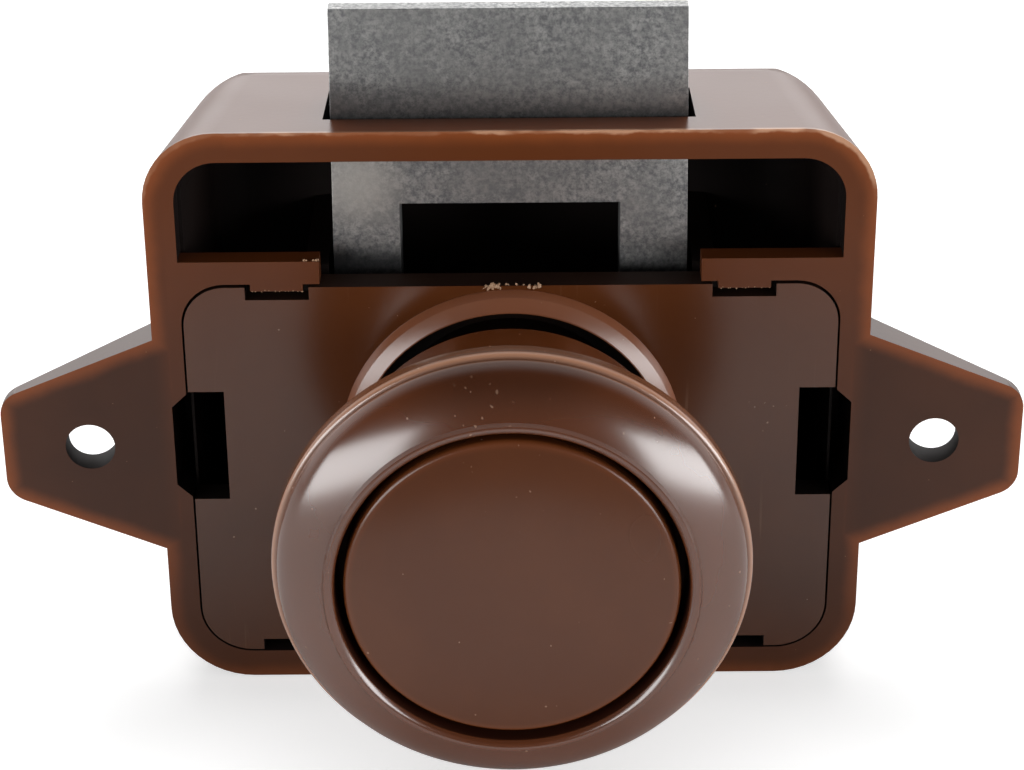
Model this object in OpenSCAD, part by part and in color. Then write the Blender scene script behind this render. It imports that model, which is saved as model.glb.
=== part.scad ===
// Push-button cabinet lock with a sprung bolt.
// X runs along the two screw ears, Y from the knob to the back, Z along the bolt.
// The origin is midway between the screw holes, on the face that lies against the door.

/* [Housing] */
// Width of the housing between the ears
body_w = 41.8; // [41:0.1:44]
// Height of the housing above the screw line
body_up = 19.9; // [19.5:0.1:21]
// Height of the housing below the screw line
body_down = 16.1; // [16:0.1:19]
// Depth of the housing at its middle
body_d = 16; // [15.8:0.1:18]
// Setback of the slanted shoulders at the sides of the back
shoulder_drop = 3; // [1:0.1:3.2]
// Half width of the flat middle of the back
shoulder_x = 7; // [6.6:0.1:9]
// Draft of the sides, the top and the bottom, in degrees
draft = 6.6; // [4:0.1:7]
// Radius of the edges round the back
back_r = 4; // [3:0.1:4.6]
// Radius of the upright edges at the sides of the back
side_r = 6.5; // [4:0.1:7]
// Radius of the upper corners of the front
corner_top_r = 4.25; // [4:0.05:5.5]
// Radius of the lower corners of the front
corner_bottom_r = 4.9; // [4:0.1:6]
// Thickness of the housing's walls
wall = 1.78; // [1.4:0.02:1.9]

/* [Ears] */
// Length from ear tip to ear tip
ears_w = 60.3; // [58:0.1:64]
// Distance between the screw holes
hole_spacing = 50; // [49:0.1:52]
// Diameter of the screw holes
hole_d = 2.94; // [2.5:0.02:3.6]
// Half height of an ear where it meets the housing
ear_root = 7; // [6:0.1:8]
// Slope of the upper and lower edges of an ear, in degrees
ear_slope = 22.4; // [15:0.1:25]
// Radius of an ear's corners
ear_tip_r = 1.6; // [1:0.1:2]
// Thickness of an ear at the housing
ear_root_t = 2.7; // [1.8:0.1:3]
// Thickness of an ear at its tip
ear_tip_t = 0.7; // [0.5:0.1:1.2]

/* [Front frame] */
// Lower edge of the two shelf bars
bar_z = 10.53; // [10.4:0.01:11.2]
// Height of the shelf bars
bar_h = 1.42; // [1.1:0.01:1.8]
// Depth of the shelf bars, front to back
bar_d = 1.4; // [1.2:0.1:1.8]
// Gap between the two shelf bars, where the bolt passes
bar_gap = 22; // [21.9:0.1:24]
// Distance of the lugs' middles from the centre
lug_x = 13.5; // [13.2:0.1:14]
// Width of the lugs under the shelf bars
lug_w = 3.04; // [2.4:0.02:3.4]
// Drop of the lugs below the shelf bars
lug_drop = 0.44; // [0.3:0.02:0.55]
// Height of the notches in the sides of the frame
side_notch_h = 5.2; // [4:0.1:6]
// Depth of the notches in the sides of the frame
side_notch_d = 0.88; // [0.5:0.02:1.2]

/* [Cover] */
// Thickness of the cover plate
cover_t = 1.8; // [1.5:0.05:2]
// Gap line between the cover and the frame
cover_gap = 0.12; // [0.05:0.01:0.2]
// Gap line between the cover and the shelf bars
cover_top_gap = 0.2; // [0.1:0.01:0.3]
// Width of the notches in the top and bottom edges of the cover
edge_notch_w = 3.7; // [3.5:0.05:4.2]
// Depth of the notches in the top edge
top_notch_d = 0.8; // [0.7:0.02:1]
// Depth of the notches in the bottom edge
bottom_notch_d = 0.72; // [0.4:0.02:1]
// Height of the notches in the sides of the cover
cover_notch_h = 7.2; // [6.6:0.1:8]
// Depth of the notches in the sides of the cover
cover_notch_d = 2.1; // [1.5:0.1:2.6]
// Radius of the boss where it leaves the cover
boss_r = 10.09; // [9.9:0.01:10.2]
// Radius of the boss where its front slope begins
boss_lip_r = 9.83; // [9.6:0.01:9.86]
// Height of the boss's wall, up to its front slope
boss_wall_h = 0.6; // [0.4:0.02:0.8]
// Height of the boss at its hole
boss_h = 1.05; // [0.9:0.05:1.4]
// Radius of the hole through the boss
boss_bore_r = 9.05; // [8.7:0.05:9.1]

/* [Knob] */
// Distance between the cover's face and the back of the rosette, for the door
door_gap = 13.35; // [12.9:0.05:16]
// Radius of the rosette's rim
rosette_r = 13.2; // [12:0.1:15]
// Thickness of the rosette's rim
rim_t = 1.25; // [0.9:0.05:1.6]
// Height of the rosette from the back of its rim to its front lip
rosette_h = 3.8; // [3.4:0.05:4.5]
// Outer radius of the rosette's skirt
skirt_r = 9.6; // [9.4:0.05:9.9]
// Wall of the rosette's skirt
skirt_wall = 1.1; // [0.8:0.05:1.3]
// Length of the rosette's skirt
skirt_l = 9.4; // [7:0.1:10]
// Radius of the button
button_r = 9.15; // [8.5:0.05:9.4]
// Groove between the button and the rosette
button_groove = 0.48; // [0.3:0.02:0.6]
// Thickness of the button
button_t = 3; // [2.6:0.1:3.3]
// Fall of the button's face from its middle to its edge
button_dome = 0.35; // [0.05:0.01:0.45]
// Radius of the button's front edge
button_edge_r = 0.3; // [0.2:0.05:0.8]

/* [Plunger] */
// Radius of the plunger's stem
stem_r = 6.4; // [6.2:0.05:6.5]
// Running clearance round the stem, on the radius
stem_clear = 0.08; // [0.04:0.01:0.1]
// Wall of the guide sleeve
sleeve_wall = 0.92; // [0.8:0.02:1]
// Travel of the button
button_travel = 9; // [8:0.1:9.2]
// Fall of the bolt for each unit of button travel
ramp_slope = 0.7; // [0.6:0.01:0.72]
// Height of the ramps where they meet the front of the bolt
ramp_z = 2.6; // [2.4:0.05:2.8]
// Thickness of each ramp blade
blade_t = 1.4; // [1.1:0.05:1.45]
// Clearance between the ramps and the bolt
ramp_clear = 0.35; // [0.25:0.01:0.45]

/* [Bolt] */
// Width of the bolt at its tip
bolt_tip_w = 20.3; // [18:0.1:20.6]
// Width of the bolt inside the housing
bolt_w = 20.7; // [20.2:0.1:20.9]
// Height of the bolt's tip above the housing
bolt_out = 6.2; // [5:0.1:6.3]
// Distance from the cover's face to the front of the bolt
bolt_y = 3.03; // [2.95:0.01:3.2]
// Thickness of the bolt's plate
bolt_t = 3; // [2.5:0.1:3.2]
// Depth of the bolt's nose, front to back
nose_d = 5.8; // [4.5:0.1:6]
// Width of the flat land on the bolt's tip
nose_land = 1.1; // [0.6:0.1:1.6]
// Width of the bolt's window
window_w = 12.8; // [12.6:0.1:13.4]
// Height of the bar above the window, below the housing's top
window_drop = 5.7; // [5:0.1:6]
// Lower edge of the bolt below the screw line
bolt_low = 4.6; // [4.4:0.1:4.8]
// Clearance at each side of the bolt
bolt_clear = 0.3; // [0.2:0.01:0.34]

/* [Springs and wire] */
// Outer radius of the plunger spring
plunger_spring_r = 2.2; // [1.9:0.05:2.3]
// Outer radius of the bolt springs
bolt_spring_r = 1.7; // [1.5:0.05:1.75]
// Radius of the spring wire
spring_wire_r = 0.24; // [0.18:0.01:0.26]
// Radius of the follower's wire
follower_wire_r = 0.45; // [0.35:0.01:0.5]
// Length of the follower from its pivot to its tip
follower_l = 11.1; // [10.6:0.1:11.4]
// Sideways sweep of the follower's tip
follower_sweep = 1.26; // [0.9:0.02:1.4]

/* [Hidden] */
plastic = "#4a2617";
dark_plastic = "#3c1f14";
zinc = "#8d8c8b";
steel = "#b4b6ba";
fine = 96;
eps = 0.05;
far = 60;

// Inside of the frame
in_w = body_w / 2 - wall;
in_up = body_up - wall;
in_down = body_down - wall;
in_back = body_d - wall;
in_top_r = corner_top_r - wall;
in_bottom_r = corner_bottom_r - wall;
frame_corner_r = in_top_r + cover_gap;
side_room = 1;

// Cover and boss
cover_w = in_w - cover_gap;
cover_up = bar_z - cover_top_gap;
cover_down = in_down - cover_gap;
notch_floor_t = 0.5;
lug_clear = 0.3;
lug_t = cover_t - notch_floor_t - lug_clear;
boss_foot = 0.1;
boss_edge = 0.08;
notch_depth = 6;

// Sleeve behind the cover
sleeve_bore_r = stem_r + stem_clear;
sleeve_r = sleeve_bore_r + sleeve_wall;
flange_t = 0.8;
flange_clear = 0.4;
flange_flat = cover_up - flange_clear;
flange_back = cover_t + flange_t;
seat_clear = 0.05;

// Knob, with heights measured forward from the cover's face
face_h = door_gap + rosette_h;
recess_r = button_r + button_groove;
button_back_h = face_h - button_t;
button_gap = 0.35;
recess_h = button_back_h - button_gap;
hub_t = 1.7;
sleeve_sink = 0.3;
sleeve_front_h = recess_h - sleeve_sink;
skirt_in_r = skirt_r - skirt_wall;
spigot_r = 4.5;
spigot_l = 1.9;
spigot_clear = 0.05;
spigot_room = 0.1;
button_back_edge = 0.3;

// Bolt and its guides
guide_x = bolt_w / 2 + bolt_clear;
guide_t = 1.35;
bolt_tip = body_up + bolt_out;
flange_lap = 0.95;
flange_r = guide_x + flange_lap;
window_top = body_up - window_drop;
bolt_mid_y = bolt_y + bolt_t / 2;
slope_foot = 0.6;
hook_low = 1.4;
hook_rise = 0.8;
window_sill = 0.6;
slot_low = 2;
bolt_peg_l = 1;

// Ramp blades inside the radius of the stem
spring_bore_clear = 0.3;
spring_bore_r = plunger_spring_r + spring_bore_clear;
blade_gap = 0.25;
blade_x = spring_bore_r + blade_gap;
blade_over = 1.6;
blade_end = bolt_y + button_travel + blade_over;
blade_low = ramp_z - ramp_slope * (blade_end - bolt_y);
stem_end = cover_t;
stop_clear = 0.3;
stop_front = flange_back + button_travel + stop_clear;
stop_x = window_w / 2 - stop_clear;
stop_z = 2.6;
stop_h = 1.6;

// Springs
coil_sides = 8;
coil_steps = 14;
spring_gap = 0.1;
post_clear = 0.25;
stem_front_t = 4.95;
spring_bore_end = stem_front_t - button_back_h;
post_l = 3.5;
bolt_spring_in = 2.35;
bolt_spring_x = bolt_w / 2 - bolt_spring_in;
spring_floor = in_down - shrink(bolt_mid_y + bolt_spring_r);
peg_l = 1.3;
peg_r = bolt_spring_r - 2 * spring_wire_r - post_clear;
pad_edge = 0.2;
plunger_turns = 13;
bolt_turns = 4;
slot_clear = 0.05;
slot_r = spring_bore_r + slot_clear;

// Posts in the corners behind the cover
post_w = 3.52;
upper_post_h = 3;
upper_post_d = 3.4;
upper_post_drop = 0.6;
lower_post_h = 3.4;

// Follower
pivot_y = cover_t / 2;
pivot_clear = 0.06;
arm_clear = 0.2;
arm_z = stem_r + arm_clear + follower_wire_r;
pivot_seat = 1.9;
pivot_end_z = boss_bore_r + pivot_seat;
pivot_play = 0.2;
track_clear = 0.35;
track_half_w = follower_wire_r + track_clear;
track_d = 1.3;
tip_z = stem_r - track_d + track_clear;
tip_y = pivot_y - follower_l;
track_angle = atan(follower_sweep / button_travel);

// Height of the ramps' underside at a depth
function ramp(y) = ramp_z - ramp_slope * (y - bolt_y);

// Points of an arc from angle a0 to a1 round a centre
function arc(cx, cy, r, a0, a1, steps) =
    [for (i = [0 : steps]) let (a = a0 + (a1 - a0) * i / steps) [cx + r * cos(a), cy + r * sin(a)]];

// Turns a profile of radius and forward height round the knob's axis
module turn() {
    rotate([90, 0, 0]) rotate_extrude($fn = fine) children();
}

// Extrudes a shape drawn in X and Z from y0 back to y1
module slab(y0, y1) {
    translate([0, y1, 0]) rotate([90, 0, 0]) linear_extrude(y1 - y0) children();
}

// Draws its children on both sides of the middle
module both_sides() {
    children();
    mirror([1, 0, 0]) children();
}

// Rounded outline in X and Z with its own radii above and below
module frame_outline(half_w, up, down, top_r, bottom_r, segments) {
    translate([-half_w, -down + bottom_r]) square([2 * half_w, up + down - top_r - bottom_r]);
    translate([-half_w + top_r, -down + bottom_r]) square([2 * (half_w - top_r), up + down - bottom_r]);
    translate([-half_w + bottom_r, -down]) square([2 * (half_w - bottom_r), up + down - top_r]);
    for (side = [-1, 1]) {
        translate([side * (half_w - top_r), up - top_r]) circle(top_r, $fn = segments);
        translate([side * (half_w - bottom_r), -down + bottom_r]) circle(bottom_r, $fn = segments);
    }
}

// How far a drafted side has moved in at a depth
function shrink(y) = y * tan(draft);

// Unit vector from one point to another
function toward(p, q) = (q - p) / norm(q - p);

// Half of the angle between the two sides that meet at a corner
function half_angle(p, a, b) = acos(toward(p, a) * toward(p, b)) / 2;

// Middle of the circle that rounds a corner
function corner_middle(p, a, b, r) =
    p + r / sin(half_angle(p, a, b)) * toward([0, 0], toward(p, a) + toward(p, b));

// Point where the rounding of a corner meets the side towards a
function corner_touch(p, a, b, r) = p + r / tan(half_angle(p, a, b)) * toward(p, a);

// Corners, listed anticlockwise, with an arc at each corner that has a radius
function rounded(points, radii) = [for (i = [0 : len(points) - 1])
    let (n = len(points), p = points[i], a = points[(i + n - 1) % n], b = points[(i + 1) % n], r = radii[i])
    each r == 0 ? [p] : let (m = corner_middle(p, a, b, r), from = corner_touch(p, a, b, r) - m,
        start = atan2(from.y, from.x)) arc(m.x, m.y, r, start, start + 180 - 2 * half_angle(p, a, b), 9)];

// View of the body from above, in X and Y, with its rounded back and room beside the drafted walls
module body_plan(inset, front) {
    back_y = body_d - shoulder_drop - inset;
    back_x = body_w / 2 - inset - shrink(back_y);
    front_x = body_w / 2 - inset + side_room;
    polygon(rounded([[-front_x, front], [front_x, front], [back_x, back_y], [shoulder_x, body_d - inset],
        [-shoulder_x, body_d - inset], [-back_x, back_y]], [0, 0, side_r - inset, 0, 0, side_r - inset]));
}

// View of the body from the side, in Y and Z
module body_side(inset, front) {
    back_y = body_d - inset;
    front_in = inset - side_room;
    back_in = inset + shrink(back_y);
    polygon(rounded([[front, front_in - body_down], [back_y, back_in - body_down],
        [back_y, body_up - back_in], [front, body_up - front_in]], [0, back_r - inset, back_r - inset, 0]));
}

// Drafted box with rounded edges, at a distance inside the outer skin
module body_form(inset, front) {
    half_w = body_w / 2 - inset;
    intersection() {
        translate([0, front, 0]) rotate([-90, 0, 0]) mirror([0, 1, 0])
            linear_extrude(body_d - front, scale = 1 - shrink(body_d) / half_w)
                frame_outline(half_w, body_up - inset, body_down - inset,
                    corner_top_r - inset, corner_bottom_r - inset, 48);
        linear_extrude(2 * far, center = true) body_plan(inset, front);
        translate([-far, 0, 0]) rotate([90, 0, 90]) linear_extrude(2 * far) body_side(inset, front);
    }
}

// Outline of one ear, with its root inside the housing's wall
module ear_outline() {
    end = ears_w / 2;
    root = body_w / 2;
    inner = root - wall / 2;
    inner_z = ear_root + tan(ear_slope) * wall / 2;
    end_z = ear_root - tan(ear_slope) * (end - root);
    polygon(rounded([[inner, -inner_z], [end, -end_z], [end, end_z], [inner, inner_z]],
        [0, ear_tip_r, ear_tip_r, 0]));
}

// Ear that thins towards its tip
module ear() {
    intersection() {
        slab(0, ear_root_t) ear_outline();
        linear_extrude(far, center = true)
            polygon([[0, 0], [ears_w / 2 + eps, 0], [ears_w / 2 + eps, ear_tip_t],
                [body_w / 2, ear_root_t], [0, ear_root_t]]);
    }
}

// Bars, guides, posts and pegs that stand inside the housing
module housing_ribs() {
    both_sides() {
        translate([bar_gap / 2, 0, bar_z]) cube([in_w, bar_d, bar_h]);
        slab(0, cover_t) translate([in_w - frame_corner_r, bar_z - frame_corner_r]) difference() {
            square([2 * frame_corner_r, frame_corner_r + eps]);
            circle(frame_corner_r, $fn = fine);
        }
        translate([lug_x - lug_w / 2, 0, bar_z - lug_drop]) cube([lug_w, lug_t, bar_h]);
        translate([guide_x, flange_back + seat_clear, -body_down])
            cube([guide_t, body_d, body_down + bar_z + eps]);
        translate([in_w - post_w, cover_t, bar_z - upper_post_h])
            cube([in_w, upper_post_d, upper_post_h - upper_post_drop]);
        translate([in_w - post_w, cover_t, -body_down])
            cube([in_w, body_d, lower_post_h + wall]);
        translate([bolt_spring_x, bolt_mid_y, -body_down]) {
            cylinder(r = bolt_spring_r + pad_edge, h = body_down - spring_floor, $fn = fine);
            cylinder(r = peg_r, h = body_down - spring_floor + peg_l, $fn = fine);
        }
    }
    translate([0, body_d, 0]) rotate([90, 0, 0])
        cylinder(r = plunger_spring_r - 2 * spring_wire_r - post_clear, h = wall + post_l, $fn = fine);
}

// Notch in the side of the frame that meets the notch in the cover
module frame_notch() {
    mouth = side_notch_h / 2 + side_notch_d;
    slab(-eps, notch_depth) polygon([[in_w - eps, mouth], [in_w + side_notch_d, side_notch_h / 2],
        [in_w + side_notch_d, -side_notch_h / 2], [in_w - eps, -mouth]]);
}

module housing() {
    color(plastic) difference() {
        union() {
            body_form(0, 0);
            both_sides() ear();
        }
        difference() {
            union() {
                body_form(wall, -eps);
                slab(-eps, cover_t) frame_outline(in_w, in_up, in_down, in_top_r, in_bottom_r, fine);
            }
            housing_ribs();
        }
        both_sides() {
            frame_notch();
            translate([hole_spacing / 2, -eps, 0]) rotate([-90, 0, 0])
                cylinder(d = hole_d, h = ear_root_t + 2 * eps, $fn = fine);
        }
        translate([-guide_x, bolt_y - bolt_clear, in_up - slot_low])
            cube([2 * guide_x, nose_d + 2 * bolt_clear, far]);
    }
}

// Face of the cover with its notches, in X and Z
module cover_outline() {
    difference() {
        frame_outline(cover_w, cover_up, cover_down, in_top_r, in_bottom_r - cover_gap, fine);
        for (side = [-1, 1]) {
            translate([side * cover_w, 0]) square([2 * cover_notch_d, cover_notch_h], center = true);
            translate([side * lug_x, -cover_down]) square([edge_notch_w, 2 * bottom_notch_d], center = true);
        }
    }
}

module cover_plate() {
    color(plastic) difference() {
        union() {
            slab(0, cover_t) cover_outline();
            turn() polygon([[0, -cover_t / 2], [boss_r, -cover_t / 2], [boss_r, boss_foot],
                [boss_lip_r, boss_wall_h], [boss_bore_r + boss_edge, boss_h], [0, boss_h]]);
        }
        translate([0, -boss_h - eps, 0]) rotate([-90, 0, 0])
            cylinder(r = boss_bore_r, h = boss_h + cover_t + 2 * eps, $fn = fine);
        for (side = [-1, 1]) {
            translate([side * lug_x - edge_notch_w / 2, -eps, cover_up - top_notch_d])
                cube([edge_notch_w, cover_t - notch_floor_t + eps, top_notch_d + eps]);
        }
        translate([0, pivot_y, -pivot_end_z - pivot_play])
            cylinder(r = follower_wire_r + pivot_clear, h = pivot_seat + 2 * pivot_play, $fn = fine);
    }
}

module rosette() {
    flare_h = door_gap + rim_t;
    lip_w = 0.45;
    lip_r = recess_r + lip_w;
    lip_fall = 0.18;
    edge = 0.3;
    steps = 11;
    bow = 0.35;
    flare_w = rosette_r - edge - lip_r;
    flare_rise = face_h - lip_fall - flare_h;
    color(plastic) turn() polygon(concat(
        [[sleeve_r + seat_clear, recess_h], [recess_r, recess_h]],
        arc(recess_r + lip_w, face_h - lip_w, lip_w, 180, 75, 6),
        [for (i = [1 : steps]) let (part = i / steps, a = 90 * part)
            [lip_r + flare_w * sin(a), flare_h + flare_rise * (bow * cos(a) + (1 - bow) * (1 - part))]],
        arc(rosette_r - edge, flare_h - edge, edge, 70, 0, 4),
        arc(rosette_r - edge, door_gap + edge, edge, 0, -90, 4),
        [[skirt_r, door_gap], [skirt_r, door_gap - skirt_l + edge], [skirt_r - edge, door_gap - skirt_l],
            [skirt_in_r, door_gap - skirt_l], [skirt_in_r, recess_h - hub_t],
            [sleeve_r + seat_clear, recess_h - hub_t]]));
}

module button_cap() {
    inner_r = button_r - button_edge_r;
    rim_h = face_h - button_dome;
    edge_end = 80;
    dome_power = 4;
    steps = 9;
    color(plastic) difference() {
        turn() polygon(concat(
            [[0, button_back_h], [button_r - button_back_edge, button_back_h],
                [button_r, button_back_h + button_back_edge]],
            arc(inner_r, rim_h - button_edge_r, button_edge_r, 0, edge_end, steps),
            [for (i = [1 : steps]) let (part = cos(90 * i / steps))
                [inner_r * part, face_h - button_dome * pow(part, dome_power)]]));
        translate([0, -button_back_h + eps, 0]) rotate([90, 0, 0])
            cylinder(r = spigot_r + spigot_clear, h = spigot_l + spigot_room + eps, $fn = fine);
    }
}

module guide_sleeve() {
    color(dark_plastic) difference() {
        union() {
            turn() translate([0, -flange_back]) square([sleeve_r, flange_back + sleeve_front_h]);
            intersection() {
                turn() translate([0, -flange_back]) square([flange_r, flange_t]);
                translate([-far / 2, 0, -flange_flat]) cube([far, far, 2 * flange_flat]);
            }
        }
        translate([0, flange_back + eps, 0]) rotate([90, 0, 0])
            cylinder(r = sleeve_bore_r, h = flange_back + sleeve_front_h + 2 * eps, $fn = fine);
        translate([-follower_sweep - track_half_w, tip_y - track_half_w, -sleeve_r - eps])
            cube([2 * (follower_sweep + track_half_w), cover_t - tip_y + track_half_w, sleeve_r]);
    }
}

// Track of the push-push latch, cut into the underside of the stem
module latch_track() {
    leg_l = button_travel / cos(track_angle);
    translate([0, tip_y, -far - stem_r + track_d]) linear_extrude(far) {
        circle(track_half_w, $fn = fine);
        for (side = [-1, 1]) rotate(-side * track_angle) {
            translate([-track_half_w, 0]) square([2 * track_half_w, leg_l]);
            translate([0, leg_l]) circle(track_half_w, $fn = fine);
        }
        translate([-follower_sweep, button_travel - track_half_w])
            square([2 * follower_sweep, 2 * track_half_w]);
    }
}

// Blade whose sloped underside pulls the bolt down as the plunger comes out
module ramp_blade() {
    intersection() {
        translate([blade_x, 0, 0]) rotate([90, 0, 90]) linear_extrude(blade_t)
            polygon([[0, ramp(bolt_y)], [bolt_y, ramp(bolt_y)], [blade_end, blade_low],
                [blade_end, stem_r], [0, stem_r]]);
        rotate([-90, 0, 0]) cylinder(r = stem_r, h = blade_end, $fn = fine);
    }
    translate([blade_x, stop_front, stop_z]) cube([stop_x - blade_x, blade_end - stop_front, stop_h]);
}

module plunger() {
    color(dark_plastic) difference() {
        union() {
            turn() translate([0, -stem_end]) square([stem_r, stem_end + button_back_h]);
            turn() translate([0, button_back_h - eps]) square([spigot_r, spigot_l + eps]);
            both_sides() ramp_blade();
        }
        translate([0, spring_bore_end, 0]) rotate([-90, 0, 0])
            cylinder(r = spring_bore_r, h = far, $fn = fine);
        latch_track();
    }
}

// Front face of the bolt with its tapered sides, in X and Z
module bolt_outline() {
    polygon([[-bolt_tip_w / 2, bolt_tip], [bolt_tip_w / 2, bolt_tip], [bolt_w / 2, bar_z],
        [bolt_w / 2, -bolt_low], [-bolt_w / 2, -bolt_low], [-bolt_w / 2, bar_z]]);
}

// Side view of the bolt, in Y and Z, with the slope on the back of its nose
module bolt_side() {
    nose_back = bolt_y + nose_d;
    plate_back = bolt_y + bolt_t;
    polygon([[bolt_y, -bolt_low], [bolt_y, bolt_tip], [bolt_y + nose_land, bolt_tip],
        [nose_back, body_up + slope_foot], [nose_back, window_top + hook_low + hook_rise],
        [plate_back, window_top + hook_low], [plate_back, -bolt_low]]);
}

// Window of the bolt, with the sloped edge that the ramps press on
module bolt_window() {
    translate([-window_w / 2, 0, 0]) rotate([90, 0, 90]) linear_extrude(window_w)
        polygon([[0, ramp(0) - ramp_clear], [far, ramp(far) - ramp_clear],
            [far, window_top], [0, window_top]]);
    rotate([-90, 0, 0]) cylinder(r = slot_r, h = far, $fn = fine);
    translate([-slot_r, 0, 0]) cube([2 * slot_r, far, window_top]);
}

module bolt() {
    color(zinc) {
        difference() {
            intersection() {
                slab(0, far) bolt_outline();
                translate([-far / 2, 0, 0]) rotate([90, 0, 90]) linear_extrude(far) bolt_side();
            }
            intersection() {
                bolt_window();
                translate([-far / 2, 0, window_sill - bolt_low]) cube([far, bolt_y + bolt_t + eps, far]);
            }
        }
        both_sides() translate([bolt_spring_x, bolt_mid_y, -bolt_low - bolt_peg_l])
            cylinder(r = peg_r, h = bolt_peg_l + eps, $fn = fine);
    }
}

// Wire coil along Z, from height 0 to its length
module coil(outer_r, length, turns) {
    mid_r = outer_r - spring_wire_r;
    rings = turns * coil_steps;
    rise = length - 2 * spring_wire_r;
    points = [for (i = [0 : rings], k = [0 : coil_sides - 1])
        let (a = 360 * i / coil_steps, b = 360 * k / coil_sides, r = mid_r + spring_wire_r * cos(b))
        [r * cos(a), r * sin(a), spring_wire_r + rise * i / rings + spring_wire_r * sin(b)]];
    walls = [for (i = [0 : rings - 1], k = [0 : coil_sides - 1])
        let (n = (k + 1) % coil_sides, p = i * coil_sides, q = p + coil_sides)
        [p + k, p + n, q + n, q + k]];
    first = [for (k = [coil_sides - 1 : -1 : 0]) k];
    last = [for (k = [0 : coil_sides - 1]) rings * coil_sides + k];
    polyhedron(points, concat(walls, [first, last]));
}

module plunger_spring() {
    length = in_back - spring_bore_end - 2 * spring_gap;
    color(steel) translate([0, in_back - spring_gap, 0]) rotate([90, 0, 0])
        coil(plunger_spring_r, length, plunger_turns);
}

module bolt_spring(side) {
    length = spring_floor - bolt_low - 2 * spring_gap;
    color(steel) translate([side * bolt_spring_x, bolt_mid_y, spring_gap - spring_floor])
        coil(bolt_spring_r, length, bolt_turns);
}

module bolt_spring_left() {
    bolt_spring(-1);
}

module bolt_spring_right() {
    bolt_spring(1);
}

// Bent wire with a pivot leg, an arm under the stem and a tip in the track
module cam_follower() {
    color(steel) {
        translate([0, pivot_y, -pivot_end_z])
            cylinder(r = follower_wire_r, h = pivot_end_z - arm_z, $fn = fine);
        translate([0, pivot_y, -arm_z]) sphere(follower_wire_r, $fn = fine);
        translate([0, pivot_y, -arm_z]) rotate([90, 0, 0])
            cylinder(r = follower_wire_r, h = follower_l, $fn = fine);
        translate([0, tip_y, -arm_z]) sphere(follower_wire_r, $fn = fine);
        translate([0, tip_y, -arm_z]) cylinder(r = follower_wire_r, h = arm_z - tip_z, $fn = fine);
    }
}

housing();
cover_plate();
rosette();
button_cap();
guide_sleeve();
plunger();
bolt();
plunger_spring();
bolt_spring_left();
bolt_spring_right();
cam_follower();
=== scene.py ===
import math

import bmesh
import bpy
from mathutils import Matrix, Vector


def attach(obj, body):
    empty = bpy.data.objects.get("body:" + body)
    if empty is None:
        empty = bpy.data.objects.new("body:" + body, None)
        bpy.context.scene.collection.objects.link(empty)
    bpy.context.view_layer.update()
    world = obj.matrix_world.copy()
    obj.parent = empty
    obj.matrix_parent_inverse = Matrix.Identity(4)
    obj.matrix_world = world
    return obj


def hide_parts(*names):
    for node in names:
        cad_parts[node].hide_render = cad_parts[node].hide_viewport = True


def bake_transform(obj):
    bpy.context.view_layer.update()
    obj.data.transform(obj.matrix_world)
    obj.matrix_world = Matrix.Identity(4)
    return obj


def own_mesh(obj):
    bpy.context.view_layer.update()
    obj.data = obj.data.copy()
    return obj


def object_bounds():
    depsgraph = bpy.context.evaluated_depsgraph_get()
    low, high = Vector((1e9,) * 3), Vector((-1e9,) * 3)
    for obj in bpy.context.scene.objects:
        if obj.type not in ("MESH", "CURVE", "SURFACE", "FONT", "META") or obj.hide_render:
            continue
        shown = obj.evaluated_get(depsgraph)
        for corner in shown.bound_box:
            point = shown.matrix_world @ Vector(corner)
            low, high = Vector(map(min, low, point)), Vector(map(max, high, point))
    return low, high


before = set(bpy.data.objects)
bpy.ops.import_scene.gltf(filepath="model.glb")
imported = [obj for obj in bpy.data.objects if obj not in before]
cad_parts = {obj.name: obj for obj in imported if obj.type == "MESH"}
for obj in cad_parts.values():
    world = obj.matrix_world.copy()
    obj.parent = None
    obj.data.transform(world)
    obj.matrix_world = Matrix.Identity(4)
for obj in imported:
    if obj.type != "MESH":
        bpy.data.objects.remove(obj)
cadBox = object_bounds()
scene = bpy.context.scene
mm = 0.001
print("frame loaded,", len(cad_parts), "nodes")


# camera at the photo's angle

camera = {
    "pitch": 27.06, "yaw": -0.2, "roll": -0.54,
    "origin": (-0.003, 3.476, 170.027),  # the part's origin as the camera sees it: right, down, ahead
    "focal": 2868.0, "imageWidth": 1024.0, "sensor": 36.0,
    "near": 0.01, "far": 20.0,
}


def placeCamera():
    data = bpy.data.cameras.new("photoCamera")
    data.sensor_fit = "HORIZONTAL"
    data.sensor_width = camera["sensor"]
    data.lens = camera["focal"] / camera["imageWidth"] * camera["sensor"]
    data.clip_start = camera["near"]
    data.clip_end = camera["far"]
    pitch, yaw, roll = (math.radians(camera[k]) for k in ("pitch", "yaw", "roll"))
    base = Matrix(((1, 0, 0), (0, 0, -1), (0, 1, 0)))  # looks along +Y, image y down
    spin = Matrix.Rotation(roll, 3, "Z")
    tilt = Matrix.Rotation(pitch, 3, "X")
    turn = Matrix.Rotation(yaw, 3, "Z")
    toWorld = (spin @ tilt @ base @ turn).transposed()
    place = (toWorld @ Matrix.Diagonal((1, -1, -1))).to_4x4()
    place.translation = -(toWorld @ Vector(camera["origin"])) * mm
    ob = bpy.data.objects.new("photoCamera", data)
    ob.matrix_world = place
    scene.collection.objects.link(ob)
    scene.camera = ob


placeCamera()
print("camera placed")


# node helpers

def addNode(tree, kind, values=None, **settings):
    node = tree.nodes.new(kind)
    for key, value in settings.items():
        setattr(node, key, value)
    for key, value in (values or {}).items():
        node.inputs[key].default_value = value
    return node


def maths(tree, operation, *values):
    node = addNode(tree, "ShaderNodeMath", operation=operation)
    for socket, value in zip(node.inputs, values):
        if isinstance(value, (int, float)):
            socket.default_value = value
        else:
            tree.links.new(value, socket)
    return node.outputs[0]


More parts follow.
